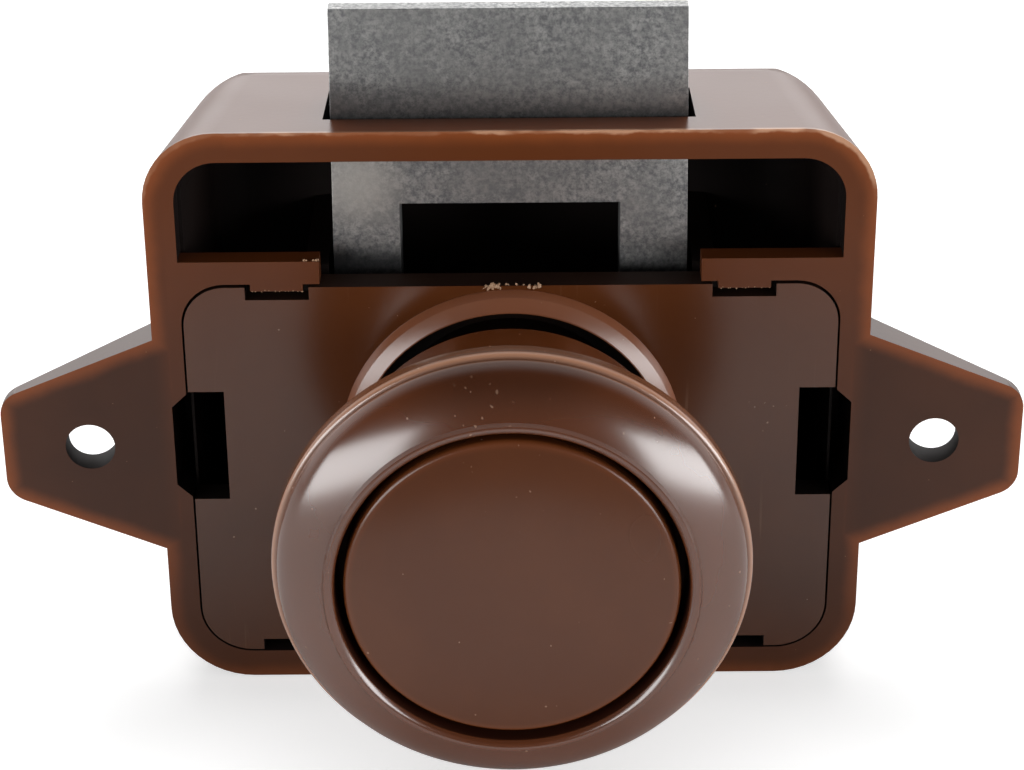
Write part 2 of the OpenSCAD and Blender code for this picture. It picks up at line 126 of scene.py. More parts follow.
def ranged(tree, value, low, high, outLow=0.0, outHigh=1.0):
    node = addNode(tree, "ShaderNodeMapRange",
                   {"From Min": low, "From Max": high, "To Min": outLow, "To Max": outHigh},
                   interpolation_type="SMOOTHSTEP")
    tree.links.new(value, node.inputs["Value"])
    return node.outputs["Result"]


def product(tree, first, *others):
    for other in others:
        first = maths(tree, "MULTIPLY", first, other)
    return first


def farFrom(tree, a, b):
    # distance that two steps at a right angle make
    return maths(tree, "SQRT", maths(tree, "ADD", product(tree, a, a), product(tree, b, b)))


def uneven(tree, noise, amount):
    # noise about nought, up to half of the amount each way
    return product(tree, maths(tree, "SUBTRACT", noise, 0.5), amount)


def mixed(tree, factor, a, b):
    node = addNode(tree, "ShaderNodeMix", data_type="RGBA")
    if isinstance(factor, (int, float)):
        node.inputs[0].default_value = factor
    else:
        tree.links.new(factor, node.inputs[0])
    for index, value in ((6, a), (7, b)):
        if isinstance(value, tuple):
            node.inputs[index].default_value = value + (1.0,)
        else:
            tree.links.new(value, node.inputs[index])
    return node.outputs[2]


def noiseAt(tree, place, scale, detail=3.0, rough=0.55, stretch=None):
    vector = place
    if stretch:
        mapping = addNode(tree, "ShaderNodeMapping", {"Scale": stretch})
        tree.links.new(place, mapping.inputs["Vector"])
        vector = mapping.outputs[0]
    node = addNode(tree, "ShaderNodeTexNoise", {"Scale": scale, "Detail": detail, "Roughness": rough})
    tree.links.new(vector, node.inputs["Vector"])
    return node.outputs["Fac"]


def inMillimetres(tree, place):
    # the three coordinates of a point, in mm
    scale = addNode(tree, "ShaderNodeVectorMath", {1: (1000.0, 1000.0, 1000.0)}, operation="MULTIPLY")
    tree.links.new(place, scale.inputs[0])
    split = tree.nodes.new("ShaderNodeSeparateXYZ")
    tree.links.new(scale.outputs[0], split.inputs[0])
    return split.outputs


# light, floor and white surroundings

studio = {
    "leftBox": {"at": (-0.355, -0.285, 0.04), "size": (0.46, 0.20), "power": 1.52},
    "rightBox": {"at": (0.39, -0.235, 0.04), "size": (0.46, 0.20), "power": 1.86},
    "topBox": {"at": (0.0, 0.16, 0.43), "size": (0.4, 0.3), "power": 1.6, "matt": True},
    "backBox": {"at": (0.0, 0.75, 0.17), "size": (1.5, 0.34), "power": 1.8},
    "fill": 0.19, "frontDim": 0.07, "behind": (-0.25, 0.35), "ceilingDim": 0.45, "above": (0.35, 0.85),
    "floorColor": 0.80, "floorGlow": 0.55, "floorSize": 3.0, "floorFront": -0.066, "floorGap": 0.055,
    "floorDrop": 0.0001,
}


def softBox(name, spec):
    light = bpy.data.lights.new(name, "AREA")
    light.shape = "RECTANGLE"
    light.size, light.size_y = spec["size"]
    light.energy = spec["power"]
    ob = bpy.data.objects.new(name, light)
    place = Vector(spec["at"])
    ob.rotation_euler = (-place).to_track_quat("-Z", "Y").to_euler()
    ob.location = place
    ob.visible_camera = False
    ob.visible_glossy = not spec.get("matt", False)
    scene.collection.objects.link(ob)


def makeWorld():
    # white to the camera, a white backdrop with a dim room in front of it to reflections
    world = bpy.data.worlds.new("studioWorld")
    world.use_nodes = True
    tree = world.node_tree
    tree.nodes.clear()
    white = addNode(tree, "ShaderNodeBackground", {"Color": (1, 1, 1, 1), "Strength": 1.0})
    fill = addNode(tree, "ShaderNodeBackground", {"Color": (1, 1, 1, 1), "Strength": studio["fill"]})
    room = addNode(tree, "ShaderNodeBackground", {"Color": (1, 1, 1, 1)})
    way = tree.nodes.new("ShaderNodeSeparateXYZ")
    tree.links.new(tree.nodes.new("ShaderNodeTexCoord").outputs["Generated"], way.inputs[0])
    behind = ranged(tree, way.outputs["Y"], *studio["behind"], studio["frontDim"], 1.0)
    above = ranged(tree, way.outputs["Z"], *studio["above"], 1.0, studio["ceilingDim"])
    tree.links.new(product(tree, behind, above), room.inputs["Strength"])
    path = tree.nodes.new("ShaderNodeLightPath")
    mirrored = maths(tree, "MAXIMUM", path.outputs["Is Glossy Ray"], path.outputs["Is Transmission Ray"])
    inner = tree.nodes.new("ShaderNodeMixShader")
    outer = tree.nodes.new("ShaderNodeMixShader")
    out = tree.nodes.new("ShaderNodeOutputWorld")
    tree.links.new(mirrored, inner.inputs[0])
    tree.links.new(fill.outputs[0], inner.inputs[1])
    tree.links.new(room.outputs[0], inner.inputs[2])
    tree.links.new(path.outputs["Is Camera Ray"], outer.inputs[0])
    tree.links.new(inner.outputs[0], outer.inputs[1])
    tree.links.new(white.outputs[0], outer.inputs[2])
    tree.links.new(outer.outputs[0], out.inputs["Surface"])
    scene.world = world


def makeFloor():
    material = bpy.data.materials.new("paleFloor")
    material.use_nodes = True
    tree = material.node_tree
    tree.nodes.clear()
    grey = studio["floorColor"]
    matt = addNode(tree, "ShaderNodeBsdfDiffuse", {"Color": (grey, grey, grey, 1)})
    glow = tree.nodes.new("ShaderNodeEmission")
    both = tree.nodes.new("ShaderNodeAddShader")
    out = tree.nodes.new("ShaderNodeOutputMaterial")
    path = tree.nodes.new("ShaderNodeLightPath")
    seen = product(tree, path.outputs["Is Camera Ray"], studio["floorGlow"])
    tree.links.new(seen, glow.inputs["Strength"])
    tree.links.new(matt.outputs[0], both.inputs[0])
    tree.links.new(glow.outputs[0], both.inputs[1])
    tree.links.new(both.outputs[0], out.inputs["Surface"])
    half = studio["floorSize"] / 2
    z = cadBox[0][2] - studio["floorDrop"]
    mesh = bpy.data.meshes.new("floor")
    near, gap = studio["floorFront"], studio["floorGap"]
    # left open straight in front, out of the camera's sight, so that the button mirrors the dim room there
    rim = [(-half, -half), (-gap, -half), (-gap, near), (gap, near), (gap, -half), (half, -half),
           (half, half), (-half, half)]
    mesh.from_pydata([(x, y, z) for x, y in rim], [], [tuple(range(len(rim)))])
    mesh.materials.append(material)
    ob = bpy.data.objects.new("floor", mesh)
    scene.collection.objects.link(ob)


for boxName in ("leftBox", "rightBox", "topBox", "backBox"):
    softBox(boxName, studio[boxName])
makeWorld()
makeFloor()
scene.view_settings.view_transform = "Standard"
print("studio lit")


# painted glow: base colour made lighter where light would shine through the edge of a moulding

outline = {
    "halfWidth": 20.9, "middle": 1.9, "halfHeight": 18.0, "corner": 4.5,
    "earRoot": 7.0, "earSlope": 22.4, "earEnd": 30.15, "earStart": 19.0,
}


def outlineDepth(tree, x, z):
    # distance in mm to the front outline of housing and ears, less than 0 inside it
    o = outline
    side = maths(tree, "ABSOLUTE", x)
    r = o["corner"]
    qx = maths(tree, "ADD", side, r - o["halfWidth"])
    qz = maths(tree, "ABSOLUTE", maths(tree, "SUBTRACT", z, o["middle"]))
    qz = maths(tree, "ADD", qz, r - o["halfHeight"])
    px = maths(tree, "MAXIMUM", qx, 0.0)
    pz = maths(tree, "MAXIMUM", qz, 0.0)
    reach = farFrom(tree, px, pz)
    within = maths(tree, "MINIMUM", maths(tree, "MAXIMUM", qx, qz), 0.0)
    box = maths(tree, "SUBTRACT", maths(tree, "ADD", reach, within), r)
    slope = math.radians(o["earSlope"])
    fall = product(tree, maths(tree, "SUBTRACT", side, o["halfWidth"]), math.tan(slope))
    edge = maths(tree, "ADD", maths(tree, "ABSOLUTE", z), fall)
    edge = product(tree, maths(tree, "SUBTRACT", edge, o["earRoot"]), math.cos(slope))
    ear = maths(tree, "MAXIMUM", edge, maths(tree, "SUBTRACT", side, o["earEnd"]))
    ear = maths(tree, "MAXIMUM", ear, maths(tree, "SUBTRACT", o["earStart"], side))
    return maths(tree, "MINIMUM", box, ear)


paintedEdgeGlow = {
    "wander": 420.0, "wanderReach": 0.5, "front": (-0.35, -0.8), "low": (-13.0, -4.0), "lowShare": 0.35,
    "backShare": 0.2,
}


# mask for the painted glow: for the outline kind, a band inside the outline on front faces, weaker low down;
# for the radius kind, a ring band by radius, weaker behind
def paintedGlowMask(tree, place, spec):
    x, y, z = inMillimetres(tree, place)
    g = paintedEdgeGlow
    if spec["kind"] == "outline":
        wander = uneven(tree, noiseAt(tree, place, g["wander"]), g["wanderReach"])
        band = ranged(tree, maths(tree, "ADD", outlineDepth(tree, x, z), wander), spec["from"], spec["to"])
        facing = tree.nodes.new("ShaderNodeSeparateXYZ")
        tree.links.new(tree.nodes.new("ShaderNodeNewGeometry").outputs["Normal"], facing.inputs[0])
        front = ranged(tree, facing.outputs["Y"], *g["front"])
        upper = ranged(tree, z, *g["low"], g["lowShare"], 1.0)
        return product(tree, band, front, upper)
    band = ranged(tree, farFrom(tree, x, z), spec["from"], spec["to"])
    ahead = ranged(tree, y, spec["behind"], spec["ahead"], g["backShare"], 1.0)
    return product(tree, band, ahead)


# brown moulded plastic: a finish for each moulding, and lighter and darker copies of it as painted light and
# painted shade

def newMaterial(name):
    material = bpy.data.materials.new(name)
    material.use_nodes = True
    tree = material.node_tree
    tree.nodes.clear()
    shader = tree.nodes.new("ShaderNodeBsdfPrincipled")
    out = tree.nodes.new("ShaderNodeOutputMaterial")
    tree.links.new(shader.outputs[0], out.inputs["Surface"])
    place = tree.nodes.new("ShaderNodeTexCoord").outputs["Object"]
    return material, tree, shader, place


def paintedTopShadingMask(tree, place, spec):
    # mask for painted shading by height: stronger towards the top, none beyond the sides
    x, y, z = inMillimetres(tree, place)
    rise = ranged(tree, z, spec["low"], spec["high"])
    within = ranged(tree, maths(tree, "ABSOLUTE", x), spec["side"], spec["side"] + spec["fade"], 1.0, 0.0)
    return product(tree, rise, within, spec["amount"])


burrLine = {
    "ragged": 700.0, "raggedReach": 0.6, "band": (-0.26, -0.06), "gaps": 280.0, "gapRange": (0.42, 0.58),
    "gapShare": 0.2, "height": (14.0, 18.0), "depth": (0.4, 0.1),
}


def burrMask(tree, place, spec):
    # thin broken line along the trimmed top edge
    x, y, z = inMillimetres(tree, place)
    b = burrLine
    ragged = uneven(tree, noiseAt(tree, place, b["ragged"]), b["raggedReach"])
    band = ranged(tree, maths(tree, "ADD", outlineDepth(tree, x, z), ragged), *b["band"])
    broken = ranged(tree, noiseAt(tree, place, b["gaps"], detail=2.0), *b["gapRange"], b["gapShare"], 1.0)
    high = product(tree, ranged(tree, z, *b["height"]), ranged(tree, y, *b["depth"]))
    return product(tree, band, broken, high, spec["amount"])


dust = {
    "speck": 3600.0, "step": 0.02, "spotStep": (0.77, 0.80), "spotCore": 0.4,
    "color": (0.36, 0.22, 0.14), "amount": 0.5, "rough": 0.15,
}


def dustSpot(tree, place, specks, atX, atZ, reach):
    # a place where more specks stick
    x, y, z = inMillimetres(tree, place)
    away = farFrom(tree, maths(tree, "SUBTRACT", x, atX), maths(tree, "SUBTRACT", z, atZ))
    near = ranged(tree, away, reach, reach * dust["spotCore"])
    return product(tree, near, ranged(tree, specks, *dust["spotStep"]))


rubMark = {
    "hair": 2200.0, "hairStretch": (1.0, 1.0, 0.05), "hairStep": (0.66, 0.74),
    "patch": 120.0, "patchStep": (0.45, 0.65),
}


def rubMask(tree, place):
    # fine upright rub marks, in patches
    hair = noiseAt(tree, place, rubMark["hair"], detail=1.0, rough=0.5, stretch=rubMark["hairStretch"])
    patch = ranged(tree, noiseAt(tree, place, rubMark["patch"], detail=1.0), *rubMark["patchStep"])
    return product(tree, ranged(tree, hair, *rubMark["hairStep"]), patch)


moulding = {
    "cloud": 130.0, "cloudRange": (0.3, 0.7), "smear": 150.0, "smearStretch": (1.0, 1.0, 0.5),
    "grain": 2600.0, "grainDepth": 0.00004,
}


def brownPlastic(name, spec):
    material, tree, shader, place = newMaterial(name)
    m = moulding
    cloud = noiseAt(tree, place, m["cloud"], detail=4.0)
    tone = mixed(tree, ranged(tree, cloud, *m["cloudRange"]), spec["dark"], spec["light"])
    # painted shading by height: a light colour gives painted light, a dark colour gives painted shade
    if spec["paintedTopShading"]:
        tone = mixed(tree, paintedTopShadingMask(tree, place, spec["paintedTopShading"]), tone, spec["paintedTopShading"]["color"])
    # painted glow: the edge colour laid over the tone near thin edges
    if spec["glow"]:
        mask = product(tree, paintedGlowMask(tree, place, spec["glow"]), spec["glow"]["amount"])
        tone = mixed(tree, mask, tone, spec["edge"])
    if spec["burr"]:
        tone = mixed(tree, burrMask(tree, place, spec["burr"]), tone, spec["burr"]["color"])
    specks = noiseAt(tree, place, dust["speck"], detail=0.0)
    marks = ranged(tree, specks, spec["dust"], spec["dust"] + dust["step"])
    for spot in spec["dustAt"]:
        marks = maths(tree, "MAXIMUM", marks, dustSpot(tree, place, specks, *spot))
    if spec["scratch"]:
        marks = maths(tree, "MAXIMUM", marks, product(tree, rubMask(tree, place), spec["scratch"]))
    tone = mixed(tree, product(tree, marks, dust["amount"]), tone, dust["color"])
    tree.links.new(tone, shader.inputs["Base Color"])
    smear = noiseAt(tree, place, m["smear"], detail=1.0, rough=0.5, stretch=m["smearStretch"])
    gloss = ranged(tree, smear, 0.0, 1.0, *spec["gloss"])
    rough = maths(tree, "ADD", gloss, product(tree, marks, dust["rough"]))
    tree.links.new(rough, shader.inputs["Roughness"])
    bump = addNode(tree, "ShaderNodeBump", {"Strength": spec["grain"], "Distance": m["grainDepth"]})
    tree.links.new(noiseAt(tree, place, m["grain"], detail=1.0), bump.inputs["Height"])
    tree.links.new(bump.outputs[0], shader.inputs["Normal"])
    shader.inputs["IOR"].default_value = spec["ior"]
    shader.inputs["Specular IOR Level"].default_value = spec["shine"]
    return material


# edge is the colour of the painted glow
plasticFinish = {
    "dark": (0.047, 0.0131, 0.0036), "light": (0.058, 0.0164, 0.0047), "edge": (0.25, 0.064, 0.016),
    "glow": {"kind": "outline", "from": -1.1, "to": 0.0, "amount": 0.8}, "paintedTopShading": None, "burr": None,
    "dust": 0.87, "dustAt": [], "scratch": 0.0,
    "gloss": (0.27, 0.31), "grain": 0.06, "ior": 1.5, "shine": 0.38,
}
housingBrown = brownPlastic("housingBrown", dict(
    plasticFinish,
    # painted light, stronger towards the top
    paintedTopShading={"color": (0.25, 0.064, 0.016), "low": -16.0, "high": 17.0, "side": 19.6, "fade": 1.5,
          "amount": 0.28},
    burr={"color": (0.60, 0.34, 0.21), "amount": 0.75}))
# painted shade: the brown plastic made nearly black for faces in the cavity
insidePaintedShade = brownPlastic("insidePaintedShade", dict(
    plasticFinish, dark=(0.0090, 0.0056, 0.0050), light=(0.0125, 0.0075, 0.0064), glow=None,
    dust=0.9, gloss=(0.55, 0.65), shine=0.15))
coverBrown = brownPlastic("coverBrown", dict(
    plasticFinish, dark=(0.050, 0.0142, 0.0038), light=(0.062, 0.0182, 0.0050), glow=None,
    # painted light, stronger towards the top
    paintedTopShading={"color": (0.25, 0.070, 0.020), "low": -13.0, "high": 10.0, "side": 25.0, "fade": 1.0,
          "amount": 0.17},
    dustAt=[(15.7, 2.1, 2.2), (4.5, 9.4, 1.2)], scratch=0.25, gloss=(0.16, 0.24), shine=0.68))
# painted sheen: the cover's plastic made lighter on the boss ring
bossPaintedSheen = brownPlastic("bossPaintedSheen", dict(
    plasticFinish, dark=(0.200, 0.0660, 0.0280), light=(0.230, 0.0770, 0.0330), glow=None,
    gloss=(0.26, 0.32), shine=1.0))
# painted shade: the knob's plastic made dark in the groove round the button
groovePaintedShade = brownPlastic("groovePaintedShade", dict(
    plasticFinish, dark=(0.024, 0.0056, 0.0020), light=(0.031, 0.0072, 0.0026), glow=None,
    dust=0.9, gloss=(0.50, 0.60), shine=0.15))
# painted shade: the cover's plastic made dark on its top edge under the bolt
topEdgePaintedShade = brownPlastic("topEdgePaintedShade", dict(
    plasticFinish, dark=(0.021, 0.0085, 0.0050), light=(0.028, 0.0110, 0.0062), glow=None,
    dust=0.9, gloss=(0.50, 0.60), shine=0.2))
knobBrown = brownPlastic("knobBrown", dict(
    plasticFinish, dark=(0.090, 0.0225, 0.0050), light=(0.104, 0.0262, 0.0062),
    gloss=(0.18, 0.23), grain=0.03,
    # painted shade, darker on the top of the flare
    paintedTopShading={"color": (0.026, 0.0062, 0.0012), "low": 9.6, "high": 12.4, "side": 2.0, "fade": 7.0,
          "amount": 0.7},
    edge=(0.55, 0.28, 0.17),
    # painted highlight along the front edge of the rim
    glow={"kind": "radius", "from": 12.8, "to": 13.15, "behind": -14.2, "ahead": -14.5, "amount": 0.6},
    dustAt=[(-1.6, 10.6, 2.2)], ior=1.6, shine=1.0))
buttonBrown = brownPlastic("buttonBrown", dict(
    plasticFinish, dark=(0.078, 0.0216, 0.0059), light=(0.090, 0.0257, 0.0072),
    gloss=(0.24, 0.28), grain=0.04,
    # painted highlight along the rounded edge of the button
    glow={"kind": "radius", "from": 8.6, "to": 9.1, "behind": -16.2, "ahead": -16.6, "amount": 0.25},
    dustAt=[(-1.5, 8.3, 1.2)], shine=0.6))
# painted shade: the brown plastic made nearly black for the pieces inside
innerPaintedShade = brownPlastic("innerPaintedShade", dict(
    plasticFinish, dark=(0.0065, 0.0023, 0.0010), light=(0.0095, 0.0033, 0.0014), glow=None,
    dust=0.9, gloss=(0.45, 0.55), shine=0.2))


tornFinish = {"grain": 5000.0, "dark": (0.26, 0.13, 0.06), "light": (0.58, 0.38, 0.25), "rough": 0.6}


def torn():
    # pale torn plastic of the moulding flash
    material, tree, shader, place = newMaterial("tornPlastic")
    grain = noiseAt(tree, place, tornFinish["grain"], detail=2.0)
    tree.links.new(mixed(tree, grain, tornFinish["dark"], tornFinish["light"]), shader.inputs["Base Color"])
    shader.inputs["Roughness"].default_value = tornFinish["rough"]
    return material


tornPlastic = torn()
print("plastics mixed")


# die-cast zinc of the bolt, and spring wire

zinc = {
    "mottle": 3800.0, "mottleRange": (0.32, 0.70), "dark": (0.21, 0.213, 0.220), "light": (0.72, 0.715, 0.70),
    "blotch": 900.0, "blotchRange": (0.36, 0.68), "blotchShare": 0.35,
    "broad": 260.0, "broadRange": (0.35, 0.7), "broadShare": 0.4, "worn": (0.40, 0.397, 0.39),
    "rubbed": (0.80, 0.76, 0.70), "rubbedAt": (-8.8, 15.4), "rubbedReach": (3.6, 0.5), "rubbedShare": 0.6,
    "paintedShadeTone": (0.030, 0.030, 0.033), "foot": (11.4, 10.2), "footLean": 0.055, "footShadeShare": 0.85,
    "collar": (22.2, 19.7), "collarStart": (18.2, 18.8), "collarShadeShare": 0.55,
    "glossRange": (0.25, 0.75), "gloss": (0.44, 0.32), "metal": 0.85, "pitted": 0.25, "pitDepth": 0.00005,
}


def castZinc():
    material, tree, shader, place = newMaterial("castZinc")
    x, y, z = inMillimetres(tree, place)
    fine = noiseAt(tree, place, zinc["mottle"], detail=4.0, rough=0.7)
    blotch = noiseAt(tree, place, zinc["blotch"], detail=3.0, rough=0.6)
    broad = noiseAt(tree, place, zinc["broad"], detail=3.0, rough=0.6)
    tone = mixed(tree, ranged(tree, fine, *zinc["mottleRange"]), zinc["dark"], zinc["light"])
    stained = ranged(tree, blotch, *zinc["blotchRange"], 0.0, zinc["blotchShare"])
    tone = mixed(tree, stained, tone, zinc["dark"])
    worn = ranged(tree, broad, *zinc["broadRange"], 0.0, zinc["broadShare"])
    tone = mixed(tree, worn, tone, zinc["worn"])
    rubbedX, rubbedZ = zinc["rubbedAt"]
    away = farFrom(tree, maths(tree, "SUBTRACT", x, rubbedX), maths(tree, "SUBTRACT", z, rubbedZ))
    rubbed = ranged(tree, away, *zinc["rubbedReach"], 0.0, zinc["rubbedShare"])
    tone = mixed(tree, rubbed, tone, zinc["rubbed"])
    # painted shade at the foot, and a weaker band of painted shade where the bolt leaves the housing
    height = maths(tree, "ADD", z, uneven(tree, blotch, 1.0))
    height = maths(tree, "ADD", height, product(tree, x, zinc["footLean"]))
    foot = ranged(tree, height, *zinc["foot"], 0.0, zinc["footShadeShare"])
    tone = mixed(tree, foot, tone, zinc["paintedShadeTone"])
    collar = product(tree, ranged(tree, height, *zinc["collar"]), ranged(tree, z, *zinc["collarStart"]))
    tone = mixed(tree, product(tree, collar, zinc["collarShadeShare"]), tone, zinc["paintedShadeTone"])
    tree.links.new(tone, shader.inputs["Base Color"])
    tree.links.new(ranged(tree, fine, *zinc["glossRange"], *zinc["gloss"]), shader.inputs["Roughness"])
    bump = addNode(tree, "ShaderNodeBump", {"Strength": zinc["pitted"], "Distance": zinc["pitDepth"]})
    tree.links.new(fine, bump.inputs["Height"])
    tree.links.new(bump.outputs[0], shader.inputs["Normal"])
    shader.inputs["Metallic"].default_value = zinc["metal"]
    return material


springWire = {
    "streak": 1800.0, "dark": (0.42, 0.42, 0.43), "light": (0.66, 0.66, 0.67),
    "streakRange": (0.3, 0.7), "gloss": (0.22, 0.36),
}


def drawnWire():
    material, tree, shader, place = newMaterial("drawnWire")
    w = springWire
    streak = noiseAt(tree, place, w["streak"], detail=2.0)
    tree.links.new(mixed(tree, streak, w["dark"], w["light"]), shader.inputs["Base Color"])
    tree.links.new(ranged(tree, streak, *w["streakRange"], *w["gloss"]), shader.inputs["Roughness"])
    shader.inputs["Metallic"].default_value = 1.0
    return material


zincGrey = castZinc()
wireSteel = drawnWire()
print("metals mixed")


# pieces cut from the solids, with their edges eased

def newPiece(name, mesh, materials, body, nodes=(), shaded=None):
    mesh.materials.clear()
    for material in materials:
        mesh.materials.append(material)
    if shaded:
        for polygon in mesh.polygons:
            polygon.material_index = int(shaded(polygon.center, polygon.normal))
    ob = bpy.data.objects.new(name, mesh)
    scene.collection.objects.link(ob)
    if body:  # a piece given no body stays unattached
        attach(ob, body)
    if nodes:
        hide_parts(*nodes)
    return ob


def plainMesh(ob, name):
    # the evaluated shape as a mesh of its own; the helper object goes
    graph = bpy.context.evaluated_depsgraph_get()
    mesh = bpy.data.meshes.new_from_object(ob.evaluated_get(graph))
    mesh.name = name
    bpy.data.objects.remove(ob)
    return mesh


easing = {"merge": 1e-6, "snap": 1e-7, "flat": 0.5, "segments": 2}  # metres, metres, degrees


def easedCopy(node, name, width, angle=35.0, cuts=()):
    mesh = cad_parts[node].data.copy()
    bm = bmesh.new()
    bm.from_mesh(mesh)
    bmesh.ops.remove_doubles(bm, verts=bm.verts, dist=easing["merge"])
    bmesh.ops.dissolve_limit(bm, angle_limit=math.radians(easing["flat"]), verts=bm.verts, edges=bm.edges)
    for depth in cuts:
        # a line across the long walls, so that the rounding behind it does not tilt their shading
        bmesh.ops.bisect_plane(bm, geom=bm.verts[:] + bm.edges[:] + bm.faces[:], dist=easing["snap"],
                               plane_co=(0.0, depth * mm, 0.0), plane_no=(0.0, 1.0, 0.0))
    for face in bm.faces:
        face.smooth = True
    bm.to_mesh(mesh)
    bm.free()
    helper = bpy.data.objects.new(name + "Helper", mesh)
    scene.collection.objects.link(helper)
    bevel = helper.modifiers.new("easedEdges", "BEVEL")
    bevel.width = width * mm
    bevel.segments = easing["segments"]
    bevel.limit_method = "ANGLE"
    bevel.angle_limit = math.radians(angle)
    bevel.use_clamp_overlap = True
    even = helper.modifiers.new("evenNormals", "WEIGHTED_NORMAL")
    even.keep_sharp = True
    return plainMesh(helper, name)


shell = {
    "ease": 0.16, "middle": (0.0, 8.0, 1.9), "halfWidth": 20.9, "up": 19.9, "down": 16.1, "back": 16.0,
    "draft": 0.1157, "shoulderX": 7.0, "shoulderFall": 0.24, "deep": 2.1,
    "barZ": (9.9, 12.1), "barDepth": 1.6, "barX": 18.9, "stepDepth": 0.5, "stepTilt": 0.7, "cut": 12.7,
    "screwX": 25.0, "screwR": 1.6, "screwTilt": 0.3, "rimDepth": 0.05,
}


def isInside(point, normal):
    # true for the walls and ribs of the cavity and for the screw holes, which get painted shade
    s = shell
    x, y, z = (value / mm for value in point)
    if math.hypot(abs(x) - s["screwX"], z) < s["screwR"] and abs(normal.y) < s["screwTilt"]:
        return True
    if abs(x) > s["halfWidth"] or y < s["rimDepth"]:
        return False
    if s["barZ"][0] < z < s["barZ"][1] and y < s["barDepth"] and abs(x) < s["barX"]:
        return False
    if normal.dot(Vector((x, y, z)) - Vector(s["middle"])) < 0:
        return True
    if normal.y < -s["stepTilt"] and y > s["stepDepth"]:
        return True
    back = s["back"] - max(abs(x) - s["shoulderX"], 0) * s["shoulderFall"]
    room = s["deep"] + y * s["draft"]
    return (y > s["deep"] and y < back - s["deep"] and abs(x) < s["halfWidth"] - room
            and room - s["down"] < z < s["up"] - room)


cover = {
    "ease": 0.06, "easeAngle": 20.0, "deep": 0.2, "bossRadius": 10.3, "bossFoot": 0.02, "topZ": 9.0,
    "topTilt": 0.8,
}


def coverFinish(point, normal):
    # 0 for the face, 1 for the edges behind it in painted shade, 2 for the boss with a painted sheen, 3 for
    # the top edge under the bolt in painted shade
    if point.y > cover["deep"] * mm:
        return 3 if point.z > cover["topZ"] * mm and normal.z > cover["topTilt"] else 1
    onBoss = math.hypot(point.x, point.z) < cover["bossRadius"] * mm and point.y < -cover["bossFoot"] * mm
    return 2 if onBoss else 0


latch = {"ease": 0.18}

newPiece("housingShell", easedCopy("housing", "housingShell", shell["ease"], cuts=[shell["cut"]]),
         [housingBrown, insidePaintedShade], "body", ["housing"], isInside)
newPiece("coverFace", easedCopy("cover_plate", "coverFace", cover["ease"], cover["easeAngle"]),
         [coverBrown, insidePaintedShade, bossPaintedSheen, topEdgePaintedShade], "body", ["cover_plate"],
         coverFinish)
newPiece("latchBolt", easedCopy("bolt", "latchBolt", latch["ease"]), [zincGrey], "bolt", ["bolt"])
print("housing, cover and bolt made")


# knob: turned profiles of radius and height in front of the cover

def arcPoints(r, h, radius, start, end, steps):
    points = []
    for i in range(steps + 1):
        a = math.radians(start + (end - start) * i / steps)
        points.append((r + radius * math.cos(a), h + radius * math.sin(a)))
    return points


lathe = {"around": 240, "axis": 1e-6, "sharp": 40.0}  # a radius below axis is on it, sharp in degrees


def turned(name, profile, closed):
    around = lathe["around"]
    angles = [2 * math.pi * i / around for i in range(around)]
    bm = bmesh.new()
    rings = []
    for r, h in profile:
        if r < lathe["axis"]:
            rings.append([bm.verts.new((0.0, -h * mm, 0.0))])
            continue
        rings.append([bm.verts.new((r * math.cos(a) * mm, -h * mm, r * math.sin(a) * mm)) for a in angles])
    pairs = list(zip(rings, rings[1:]))
    if closed:
        pairs.append((rings[-1], rings[0]))
    for low, high in pairs:
        for i in range(around):
            j = (i + 1) % around
            if len(low) == 1:
                bm.faces.new((low[0], high[j], high[i]))
            elif len(high) == 1:
                bm.faces.new((low[i], low[j], high[0]))
            else:
                bm.faces.new((low[i], low[j], high[j], high[i]))
    bmesh.ops.recalc_face_normals(bm, faces=bm.faces)
    for face in bm.faces:
        face.smooth = True
    mesh = bpy.data.meshes.new(name)
    bm.to_mesh(mesh)
    bm.free()
    mesh.set_sharp_from_angle(angle=math.radians(lathe["sharp"]))
    return mesh


knob = {
    "doorGap": 13.35, "rim": 1.25, "face": 17.15, "outer": 13.2, "recess": 9.63, "floor": 13.8,
    "lip": 0.45, "lipFall": 0.18, "edge": 0.3, "bow": 0.35,
    "hubBore": 7.45, "hubBack": 12.1, "skirt": 9.6, "skirtIn": 8.5, "skirtEnd": 3.95,
    "corner": 0.1, "fillet": 0.25, "flareSteps": 40, "grooveUp": -0.05, "grooveOut": 0.02,
}


def knobProfile():
    k = knob
    flareFoot = k["doorGap"] + k["rim"]
    lipR = k["recess"] + k["lip"]
    width = k["outer"] - k["edge"] - lipR
    rise = k["face"] - k["lipFall"] - flareFoot
    c, f = k["corner"], k["fillet"]
    points = [(k["hubBore"], k["floor"]), (k["recess"] - c, k["floor"]), (k["recess"], k["floor"] + c)]
    points += arcPoints(lipR, k["face"] - k["lip"], k["lip"], 180, 78, 10)
    for i in range(2, k["flareSteps"] + 1):
        share = i / k["flareSteps"]
        a = math.radians(90 * share)
        points.append((lipR + width * math.sin(a),
                       flareFoot + rise * (k["bow"] * math.cos(a) + (1 - k["bow"]) * (1 - share))))
    points += arcPoints(k["outer"] - k["edge"], flareFoot - k["edge"], k["edge"], 70, 0, 6)
    points += arcPoints(k["outer"] - k["edge"], k["doorGap"] + k["edge"], k["edge"], 0, -90, 6)
    points += arcPoints(k["skirt"] + f, k["doorGap"] - f, f, 90, 180, 4)
    points += arcPoints(k["skirt"] - k["edge"], k["skirtEnd"] + k["edge"], k["edge"], 0, -90, 6)
    points += [(k["skirtIn"] + c, k["skirtEnd"]), (k["skirtIn"], k["skirtEnd"] + c),
               (k["skirtIn"], k["hubBack"]), (k["hubBore"], k["hubBack"])]
    return points


